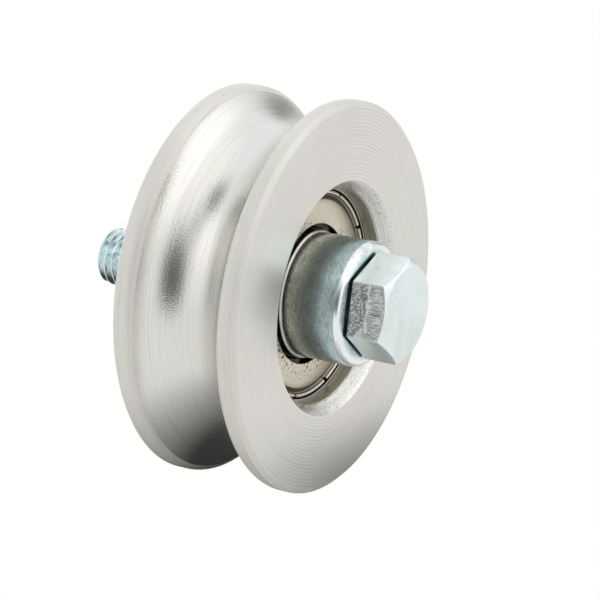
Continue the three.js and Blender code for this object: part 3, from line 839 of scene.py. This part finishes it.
def build_bolt(skins):
    """One closed mesh: chamfered head, washer face, plain shank and a true helical thread."""
    head, rough, thread, shaded_under_head, flats = range(5)
    pairs = hexagon()
    n = len(pairs)
    under = SPACER_LOW - FACE_GAP
    base = under - WASHER_FACE
    rings = [
        (head, lambda r: (0.0, BOLT_LOW)),
        (head, lambda r: (HEX_DISC_R - 0.3, BOLT_LOW)),
        (head, lambda r: (HEX_DISC_R - 0.1, BOLT_LOW + 0.02)),
        (head, lambda r: (HEX_DISC_R + 0.05, BOLT_LOW + 0.07)),
        (head, lambda r: (r - 0.12, BOLT_LOW + chamfer_rise(r - 0.12, 0.1))),
        (head, lambda r: (r - 0.03, BOLT_LOW + chamfer_rise(r, 0.14))),
        (flats, lambda r: (r, BOLT_LOW + max(0.2, (r - HEX_DISC_R) * HEX_SLOPE + 0.08))),
        (flats, lambda r: (r, (BOLT_LOW + base) / 2)),
        (flats, lambda r: (r, base - 0.12)),
        # underside of the head: its skin is painted shade
        (shaded_under_head, lambda r: (r - 0.12, base)),
        (shaded_under_head, lambda r: (WASHER_R + 0.05, base)),
        (shaded_under_head, lambda r: (WASHER_R, base + 0.1)),
        (shaded_under_head, lambda r: (WASHER_R, under)),
        (shaded_under_head, lambda r: (BOLT_R - 0.1, under))]
    verts, faces, face_skins = [], [], []
    for _, ring in rings:
        for a, r in pairs:
            rr, y = ring(r)
            turn = a + HEAD_TURN
            verts.append((rr * math.cos(turn), y, rr * math.sin(turn)))
    for j, (skin, _) in enumerate(rings[:-1]):
        for i in range(n):
            k = (i + 1) % n
            faces.append((j * n + i, j * n + k, (j + 1) * n + k, (j + 1) * n + i))
            side_face = j in (6, 7) and i // HEX_STEPS == ROUGH_FACET
            face_skins.append(rough if side_face else skin)
    add_thread(verts, faces, face_skins, n, thread)
    obj = finish_mesh("hex_bolt_threaded", verts, faces, face_skins,
                      [skins[key] for key in ("head", "sheared", "thread", "under", "flats")],
                      HEX_SHARP_DEG)
    present(obj, "axle", ["hex_bolt"])


def thread_point(start, turns, angle):
    """Radius and y of a thread's surface: its profile fades in from the shank and runs out in the
    rounded tip. turns counts whole and part turns of the thread from its start."""
    turn, share, drop = turns
    crest = BOLT_R - 0.03
    y = start + (turn - 1 + share + angle / TAU) * THREAD_PITCH
    fade = min(1.0, max(0.0, (y - start) / (THREAD_RUN_IN * THREAD_PITCH)))
    r = crest + drop * THREAD_DEPTH * fade
    short = TIP_ROUND - min(TIP_ROUND, max(0.0, BOLT_HIGH - y))
    r = min(r, BOLT_R - TIP_ROUND + math.sqrt(TIP_ROUND ** 2 - short ** 2))
    return r, min(max(y, start), BOLT_HIGH)


def add_thread(verts, faces, face_skins, n, skin):
    """Carries the last ring on as a thread whose rows follow the helix, to a rounded tip."""
    profile = [(0.0, -1.0), (0.09, -1.0), (0.16, -0.82), (0.42, -0.1), (0.47, 0.0), (0.58, 0.0),
               (0.63, -0.1), (0.89, -0.82), (0.96, -1.0)]
    start = BOLT_HIGH - THREAD_LENGTH
    base = len(verts) - n
    first = len(verts)
    angles = [math.atan2(v[2], v[0]) % TAU for v in verts[base:]]
    step = len(profile)
    rows = (int(THREAD_LENGTH / THREAD_PITCH) + 3) * step
    for row in range(rows):
        turns = (row // step, *profile[row % step])
        for angle in angles:
            r, y = thread_point(start, turns, angle)
            verts.append((r * math.cos(angle), y, r * math.sin(angle)))
    seam = min(range(n), key=lambda i: angles[i])

    def index(row, i):
        return first + row * n + i

    for row in range(rows - 1):
        for i in range(n):
            k = (i + 1) % n
            shift = step if k == seam else 0
            low, high = row + shift, row + 1 + shift
            if high >= rows:
                continue
            faces.append((index(row, i), index(low, k), index(high, k), index(row + 1, i)))
            face_skins.append(skin)
    centre = len(verts)
    verts.append((0.0, BOLT_HIGH, 0.0))
    for i in range(n):
        k = (i + 1) % n
        faces.append((base + i, base + k, index(0, k), index(0, i)))
        faces.append((index(rows - 1, i), index(rows - 1, k), centre))
        face_skins += [skin, skin]


def build_nut(skins):
    """Nut chamfered at both ends, with a plain countersunk hole."""
    pairs = hexagon()
    n = len(pairs)
    bore = BOLT_R + THREAD_GAP
    mouth = bore + NUT_COUNTERSINK_WIDTH
    low, high = NUT_LOW, NUT_HIGH
    rings = [
        lambda r: (bore, low + NUT_COUNTERSINK), lambda r: (mouth, low),
        lambda r: (HEX_DISC_R - 0.2, low), lambda r: (HEX_DISC_R, low + 0.05),
        lambda r: (r, low + chamfer_rise(r, 0.15)), lambda r: (r, (low + high) / 2),
        lambda r: (r, high - chamfer_rise(r, 0.15)), lambda r: (HEX_DISC_R, high - 0.05),
        lambda r: (HEX_DISC_R - 0.2, high), lambda r: (mouth, high),
        lambda r: (bore, high - NUT_COUNTERSINK)]
    verts = []
    for ring in rings:
        for a, r in pairs:
            rr, y = ring(r)
            verts.append((rr * math.cos(a), y, rr * math.sin(a)))
    count = len(rings)
    faces = [(j * n + i, j * n + (i + 1) % n, (j + 1) % count * n + (i + 1) % n,
              (j + 1) % count * n + i) for j in range(count) for i in range(n)]
    obj = finish_mesh("hex_nut_chamfered", verts, faces, [0] * len(faces), [skins["head"]],
                      HEX_SHARP_DEG)
    present(obj, "axle", ["hex_nut"])


def clip_point(r, degrees):
    """A point of the circlip's outline; the angle is taken from the middle of its gap."""
    a = math.radians(degrees)
    return r * math.sin(a), -r * math.cos(a)


def clip_loops(steps=140):
    """The circlip's outline and its two holes."""
    lug_r = CLIP_R - CLIP_LUG
    gap = CLIP_GAP_HALF_DEG
    lug_end = gap + CLIP_LUG_DEG
    band_end = lug_end + CLIP_FLARE_DEG
    soft = CLIP_LUG_ROUND_DEG
    outline = [clip_point(CLIP_R, gap + (360 - 2 * gap) * i / steps) for i in range(steps + 1)]
    outline += [clip_point(lug_r, 360 - gap - soft), clip_point(lug_r, 360 - lug_end + soft)]
    for i in range(steps + 1):
        degrees = 360 - band_end - (360 - 2 * band_end) * i / steps
        share = 1 - CLIP_TAPER * (1 - math.sin(math.radians(degrees / 2)))
        outline.append(clip_point(CLIP_R - CLIP_BAND * share, degrees))
    outline += [clip_point(lug_r, lug_end - soft), clip_point(lug_r, gap + soft)]
    loops = [outline]
    hole, sides = CLIP_HOLE / 2, 32
    for side in (-1, 1):
        x, z = clip_point(lug_r + CLIP_HOLE_INSET, side * (gap + CLIP_LUG_DEG / 2))
        turns = [TAU * i / sides for i in range(sides)]
        loops.append([(x + hole * math.cos(a), z + hole * math.sin(a)) for a in turns])
    return loops


def build_clip(skins):
    """Open spring ring with two drilled lugs, stamped with softened edges."""
    curve = bpy.data.curves.new("clip_outline", "CURVE")
    curve.dimensions = "2D"
    curve.fill_mode = "BOTH"
    for loop in clip_loops():
        spline = curve.splines.new("POLY")
        spline.points.add(len(loop) - 1)
        for point, (x, z) in zip(spline.points, loop):
            point.co = (x * MM, z * MM, 0, 1)
        spline.use_cyclic_u = True
    curve.extrude = ((CLIP_HIGH - CLIP_LOW) / 2 - CLIP_EDGE) * MM
    curve.bevel_depth = CLIP_EDGE * MM
    curve.bevel_resolution = 1
    curve.offset = -CLIP_EDGE * MM
    shape = bpy.data.objects.new("clip_outline", curve)
    bpy.context.scene.collection.objects.link(shape)
    solid = shape.evaluated_get(bpy.context.evaluated_depsgraph_get())
    mesh = bpy.data.meshes.new_from_object(solid)
    bpy.data.objects.remove(shape)
    stand = Matrix.Rotation(math.pi / 2, 4, "X")
    mesh.transform(Matrix.Translation((0, (CLIP_LOW + CLIP_HIGH) / 2 * MM, 0)) @ stand)
    verts = [v.co / MM for v in mesh.vertices]
    faces = [tuple(p.vertices) for p in mesh.polygons]
    obj = finish_mesh("spring_clip_stamped", verts, faces, [0] * len(faces), [skins["clip"]])
    present(obj, "wheel", ["retaining_ring"])


# ---- Floor, lights and camera (lengths here are metres) ----------------------------------------

AMBIENT = 1.05
FLOOR_SIZE = 8
FLOOR_Z = -(RIM_R + 0.05) * MM
SHEEN_Z = -(RIM_R + 0.03) * MM
SHADE_CENTRE = (0.006, 0.013)           # the wheel's own shade on the floor
SHADE_HALF = (0.062, 0.049)
CAMERA_TURN_DEG = -59.763
CAMERA_TILT_DEG = 19.53
CAMERA_OFFSET = (4.429, -2.58, 531.59)  # mm: right, up and back from the wheel's centre
CAMERA_LENS = 156.84


def glow(name, colour, strength):
    """A plain emitter for the floor and the cards."""
    g = Graph(name)
    shader = g.shader.inputs
    shader["Base Color"].default_value = (0.0, 0.0, 0.0, 1)
    shader["Roughness"].default_value = 1.0
    shader["Specular IOR Level"].default_value = 0.0
    shader["Emission Color"].default_value = (*colour, 1)
    g.feed(shader["Emission Strength"], strength)
    return g


def build_stage():
    """Pale floor, lit evenly from within as on a light table, and a dim studio round it."""
    bpy.ops.mesh.primitive_plane_add(size=FLOOR_SIZE, location=(0, 0, FLOOR_Z))
    floor = bpy.context.object
    floor.name = "floor"
    floor.data.materials.append(glow("floor_white", (1.0, 0.998, 0.99), 1.0).material)
    world = bpy.data.worlds.new("studio")
    world.use_nodes = True
    shade = world.node_tree.nodes["Background"].inputs
    shade["Color"].default_value = (0.94, 0.97, 1.0, 1)
    shade["Strength"].default_value = AMBIENT
    bpy.context.scene.world = world


def add_card(name, azimuth, elevation, distance, size, level, colour=(1, 1, 1), core=0.6, roll=0):
    """A card that only reflections see, facing the wheel from a direction given in degrees. It is
    even out to core of its half width, and fades from there into the studio round it."""
    a, e = math.radians(azimuth), math.radians(elevation)
    toward = Vector((math.cos(a) * math.cos(e), math.sin(a) * math.cos(e), math.sin(e)))
    bpy.ops.mesh.primitive_plane_add(size=2)
    card = bpy.context.object
    card.name = name
    card.scale = (size[0] / 2, size[1] / 2, 1)
    card.location = toward * distance
    turn = (-toward).to_track_quat("Z", "Y") @ Quaternion((0, 0, 1), math.radians(roll))
    card.rotation_euler = turn.to_euler()
    g = glow(name + "_tone", colour, level)
    x, y, _ = g.axes()
    out = g.math("SQRT", g.math("ADD", g.math("MULTIPLY", x, x), g.math("MULTIPLY", y, y)))
    g.feed(g.shader.inputs["Emission Strength"], g.level(out, core, 1.0, level, AMBIENT))
    card.data.materials.append(g.material)
    reflected_only(card)


def floor_sheen():
    """The floor as reflections see it: shaded under the wheel, and a little dull elsewhere."""
    bpy.ops.mesh.primitive_plane_add(size=1)
    card = bpy.context.object
    card.name = "floor_sheen"
    card.scale = (FLOOR_SIZE, FLOOR_SIZE, 1)
    card.location = (*SHADE_CENTRE, SHEEN_Z)
    g = glow("floor_sheen_tone", (1.0, 0.99, 0.97), 0.0)
    x, y, _ = g.axes()
    wide = g.math("MULTIPLY", x, FLOOR_SIZE / SHADE_HALF[0])
    deep = g.math("MULTIPLY", y, FLOOR_SIZE / SHADE_HALF[1])
    away = g.math("SQRT", g.math("ADD", g.math("MULTIPLY", wide, wide),
                                 g.math("MULTIPLY", deep, deep)))
    g.feed(g.shader.inputs["Emission Strength"], g.level(away, 0.36, 1.05, 0.03, 0.89))
    card.data.materials.append(g.material)
    reflected_only(card)


def reflected_only(card):
    for sight in ("camera", "diffuse", "shadow", "transmission", "volume_scatter"):
        setattr(card, "visible_" + sight, False)


def build_cards():
    """Soft boxes and dark flags, by the direction in which the wheel sees them."""
    add_card("softbox_over", 250, 72, 1.3, (2.8, 2.1), 1.15, (1.0, 0.995, 0.975))
    add_card("softbox_front", 290, 35, 1.2, (1.9, 1.25), 1.42, (1.0, 0.995, 0.98))
    add_card("softbox_rear", 138, 36, 1.2, (1.05, 0.9), 1.27, (1.0, 0.995, 0.975))
    add_card("flag_right", 0, 8, 1.2, (1.1, 0.66), 0.32, core=0.5)
    add_card("flag_camera", 202, 15, 0.45, (0.66, 0.60), 0.10, core=0.35, roll=-24)
    add_card("flag_gap", 188, 42, 0.6, (0.34, 0.62), 0.36, core=0.2, roll=-28)
    add_card("flag_high", 140, 66, 0.9, (0.95, 0.46), 0.14, core=0.3)
    floor_sheen()


def build_camera():
    """Looks down on the head side from the left, with a long lens."""
    turn, tilt = math.radians(CAMERA_TURN_DEG), math.radians(CAMERA_TILT_DEG)
    back = Vector((math.sin(turn) * math.cos(tilt), -math.cos(turn) * math.cos(tilt),
                   math.sin(tilt)))
    right = Vector((math.cos(turn), math.sin(turn), 0))
    up = back.cross(right)
    aside, above, behind = CAMERA_OFFSET
    place = (right * aside + up * above + back * behind) * MM
    data = bpy.data.cameras.new("camera")
    data.lens = CAMERA_LENS
    data.sensor_width = 36
    camera = bpy.data.objects.new("camera", data)
    bpy.context.scene.collection.objects.link(camera)
    rotation = Matrix((right, up, back)).transposed()
    camera.matrix_world = Matrix.Translation(place) @ rotation.to_4x4()
    bpy.context.scene.camera = camera


def main():
    skins = make_materials()
    build_camera()
    build_stage()
    build_wheel(skins)
    build_rings(skins)
    build_shield(skins, -1, "front_shield_pressed", "front_shield")
    build_shield(skins, 1, "rear_shield_pressed", "rear_shield")
    build_balls(skins)
    build_cage(skins)
    build_rivets(skins)
    build_spacer(skins, -1, "front_spacer_turned", "front_spacer")
    build_spacer(skins, 1, "rear_spacer_turned", "rear_spacer")
    build_bolt(skins)
    build_nut(skins)
    build_clip(skins)
    build_cards()
    scene = bpy.context.scene
    scene.view_settings.view_transform = "Standard"


main()
